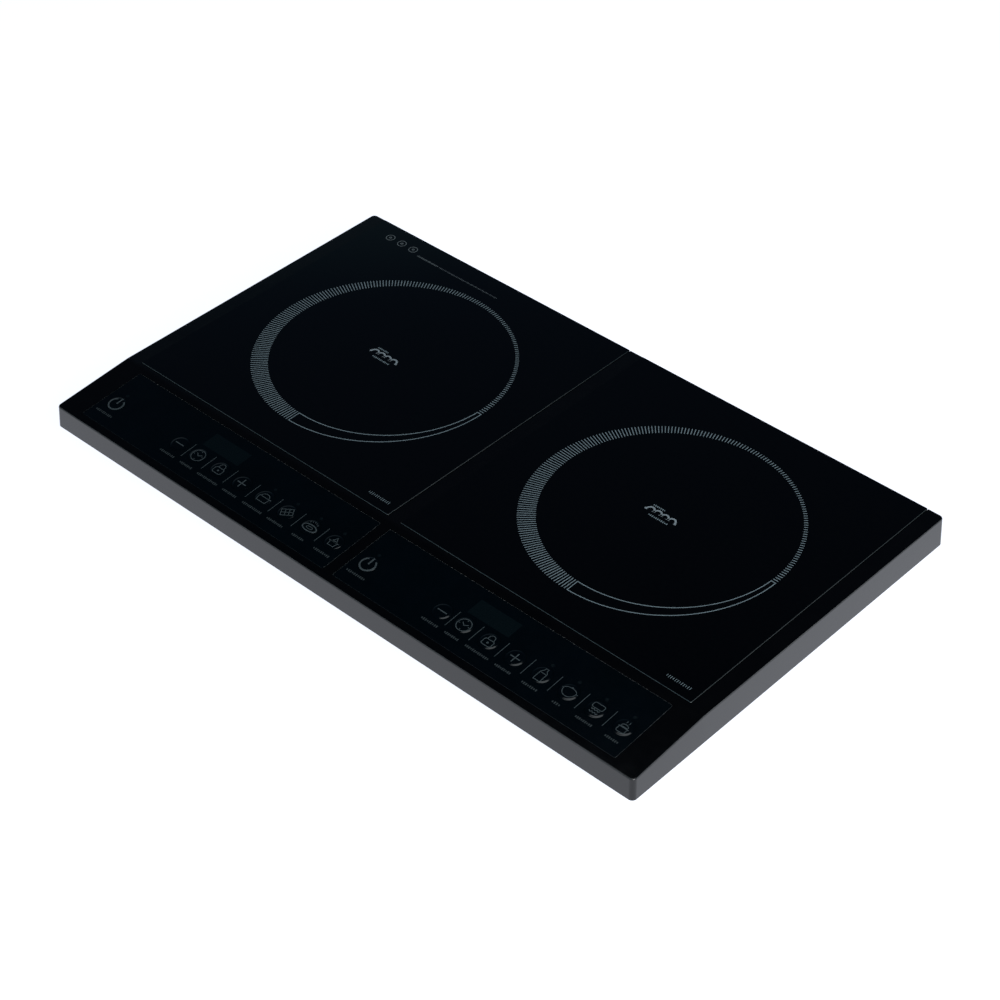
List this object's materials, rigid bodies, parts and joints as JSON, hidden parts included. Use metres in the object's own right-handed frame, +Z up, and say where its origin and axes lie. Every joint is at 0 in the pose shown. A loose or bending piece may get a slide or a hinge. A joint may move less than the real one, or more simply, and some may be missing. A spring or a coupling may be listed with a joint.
{
  "type": "electric induction cooktop",
  "caption": "Low black portable induction cooktop: glass cooking plates side by side in a moulded frame with a sloped key panel along the front, over a vented tray on rubber feet.",
  "frame": {"origin": "on the table below the middle of the body, at the underside of the feet", "axes": "+Z up, the front with the key panel faces -Y, +X to the right of a person standing in front"},
  "size_m": [0.602, 0.357, 0.0564],
  "materials": {
    "frame_plastic": "satin moulded",
    "tray_plastic": "fine grained",
    "foot_rubber": "matt",
    "steel": "zinc plated",
    "plate_foil": "satin",
    "gland_plastic": "satin",
    "terminal_plastic": "satin",
    "filter_parts": "satin",
    "wire_insulation": "satin",
    "black_glass": "polished",
    "silicone": "satin",
    "control_film": "satin film",
    "key_film": "satin film",
    "switch_plastic": "matt",
    "circuit_board": "solder resist",
    "display_plastic": "satin",
    "former_plastic": "matt",
    "litz_wire": "enamelled copper",
    "ferrite": "sintered",
    "sensor_ceramic": "matt",
    "heatsink_metal": "extruded",
    "power_plastic": "matt moulded",
    "capacitor_cases": "satin",
    "fan_plastic": "satin",
    "rotor_plastic": "satin"
  },
  "bodies": {
    "housing": {"top_frame": "frame_plastic", "bottom_tray": "tray_plastic", "rubber_feet": "foot_rubber", "case_screws": "steel", "inner_screws": "steel", "rating_plate": "plate_foil", "cord_gland": "gland_plastic", "terminal_block": "terminal_plastic", "mains_filter": "filter_parts", "wiring_harness": "wire_insulation", "left_glass": "black_glass", "left_glass_seal": "silicone", "left_control_film": "control_film", "left_key_switches": "switch_plastic", "left_control_board": "circuit_board", "left_display": "display_plastic", "left_coil_former": "former_plastic", "left_coil_winding": "litz_wire", "left_ferrite_bars": "ferrite", "left_temp_sensor": "sensor_ceramic", "left_main_board": "circuit_board", "left_heatsink": "heatsink_metal", "left_power_devices": "power_plastic", "left_capacitors": "capacitor_cases", "left_fan_housing": "fan_plastic", "right_glass": "black_glass", "right_glass_seal": "silicone", "right_control_film": "control_film", "right_key_switches": "switch_plastic", "right_control_board": "circuit_board", "right_display": "display_plastic", "right_coil_former": "former_plastic", "right_coil_winding": "litz_wire", "right_ferrite_bars": "ferrite", "right_temp_sensor": "sensor_ceramic", "right_main_board": "circuit_board", "right_heatsink": "heatsink_metal", "right_power_devices": "power_plastic", "right_capacitors": "capacitor_cases", "right_fan_housing": "fan_plastic"},
    "left_power_key": {"left_power_key": "key_film"},
    "left_minus_key": {"left_minus_key": "key_film"},
    "left_timer_key": {"left_timer_key": "key_film"},
    "left_lock_key": {"left_lock_key": "key_film"},
    "left_plus_key": {"left_plus_key": "key_film"},
    "left_program_1_key": {"left_program_1_key": "key_film"},
    "left_program_2_key": {"left_program_2_key": "key_film"},
    "left_program_3_key": {"left_program_3_key": "key_film"},
    "left_program_4_key": {"left_program_4_key": "key_film"},
    "right_power_key": {"right_power_key": "key_film"},
    "right_minus_key": {"right_minus_key": "key_film"},
    "right_timer_key": {"right_timer_key": "key_film"},
    "right_lock_key": {"right_lock_key": "key_film"},
    "right_plus_key": {"right_plus_key": "key_film"},
    "right_program_1_key": {"right_program_1_key": "key_film"},
    "right_program_2_key": {"right_program_2_key": "key_film"},
    "right_program_3_key": {"right_program_3_key": "key_film"},
    "right_program_4_key": {"right_program_4_key": "key_film"},
    "left_fan_rotor": {"left_fan_rotor": "rotor_plastic"},
    "right_fan_rotor": {"right_fan_rotor": "rotor_plastic"}
  },
  "joints": [
    {"name": "left_power_key_press", "type": "slide", "parent": "housing", "child": "left_power_key", "axis": [0, 0.0861, -0.9963], "range_m": [0, 0.0004], "stiffness_N_per_m": 4000},
    {"name": "left_minus_key_press", "type": "slide", "parent": "housing", "child": "left_minus_key", "axis": [0, 0.0861, -0.9963], "range_m": [0, 0.0004], "stiffness_N_per_m": 4000},
    {"name": "left_timer_key_press", "type": "slide", "parent": "housing", "child": "left_timer_key", "axis": [0, 0.0861, -0.9963], "range_m": [0, 0.0004], "stiffness_N_per_m": 4000},
    {"name": "left_lock_key_press", "type": "slide", "parent": "housing", "child": "left_lock_key", "axis": [0, 0.0861, -0.9963], "range_m": [0, 0.0004], "stiffness_N_per_m": 4000},
    {"name": "left_plus_key_press", "type": "slide", "parent": "housing", "child": "left_plus_key", "axis": [0, 0.0861, -0.9963], "range_m": [0, 0.0004], "stiffness_N_per_m": 4000},
    {"name": "left_program_1_key_press", "type": "slide", "parent": "housing", "child": "left_program_1_key", "axis": [0, 0.0861, -0.9963], "range_m": [0, 0.0004], "stiffness_N_per_m": 4000},
    {"name": "left_program_2_key_press", "type": "slide", "parent": "housing", "child": "left_program_2_key", "axis": [0, 0.0861, -0.9963], "range_m": [0, 0.0004], "stiffness_N_per_m": 4000},
    {"name": "left_program_3_key_press", "type": "slide", "parent": "housing", "child": "left_program_3_key", "axis": [0, 0.0861, -0.9963], "range_m": [0, 0.0004], "stiffness_N_per_m": 4000},
    {"name": "left_program_4_key_press", "type": "slide", "parent": "housing", "child": "left_program_4_key", "axis": [0, 0.0861, -0.9963], "range_m": [0, 0.0004], "stiffness_N_per_m": 4000},
    {"name": "right_power_key_press", "type": "slide", "parent": "housing", "child": "right_power_key", "axis": [0, 0.0861, -0.9963], "range_m": [0, 0.0004], "stiffness_N_per_m": 4000},
    {"name": "right_minus_key_press", "type": "slide", "parent": "housing", "child": "right_minus_key", "axis": [0, 0.0861, -0.9963], "range_m": [0, 0.0004], "stiffness_N_per_m": 4000},
    {"name": "right_timer_key_press", "type": "slide", "parent": "housing", "child": "right_timer_key", "axis": [0, 0.0861, -0.9963], "range_m": [0, 0.0004], "stiffness_N_per_m": 4000},
    {"name": "right_lock_key_press", "type": "slide", "parent": "housing", "child": "right_lock_key", "axis": [0, 0.0861, -0.9963], "range_m": [0, 0.0004], "stiffness_N_per_m": 4000},
    {"name": "right_plus_key_press", "type": "slide", "parent": "housing", "child": "right_plus_key", "axis": [0, 0.0861, -0.9963], "range_m": [0, 0.0004], "stiffness_N_per_m": 4000},
    {"name": "right_program_1_key_press", "type": "slide", "parent": "housing", "child": "right_program_1_key", "axis": [0, 0.0861, -0.9963], "range_m": [0, 0.0004], "stiffness_N_per_m": 4000},
    {"name": "right_program_2_key_press", "type": "slide", "parent": "housing", "child": "right_program_2_key", "axis": [0, 0.0861, -0.9963], "range_m": [0, 0.0004], "stiffness_N_per_m": 4000},
    {"name": "right_program_3_key_press", "type": "slide", "parent": "housing", "child": "right_program_3_key", "axis": [0, 0.0861, -0.9963], "range_m": [0, 0.0004], "stiffness_N_per_m": 4000},
    {"name": "right_program_4_key_press", "type": "slide", "parent": "housing", "child": "right_program_4_key", "axis": [0, 0.0861, -0.9963], "range_m": [0, 0.0004], "stiffness_N_per_m": 4000},
    {"name": "left_fan_spin", "type": "hinge", "parent": "housing", "child": "left_fan_rotor", "pos_m": [-0.1455, 0.08, 0.02], "axis": [0, 0, 1], "continuous": true},
    {"name": "right_fan_spin", "type": "hinge", "parent": "housing", "child": "right_fan_rotor", "pos_m": [0.1455, 0.08, 0.02], "axis": [0, 0, 1], "continuous": true}
  ]
}
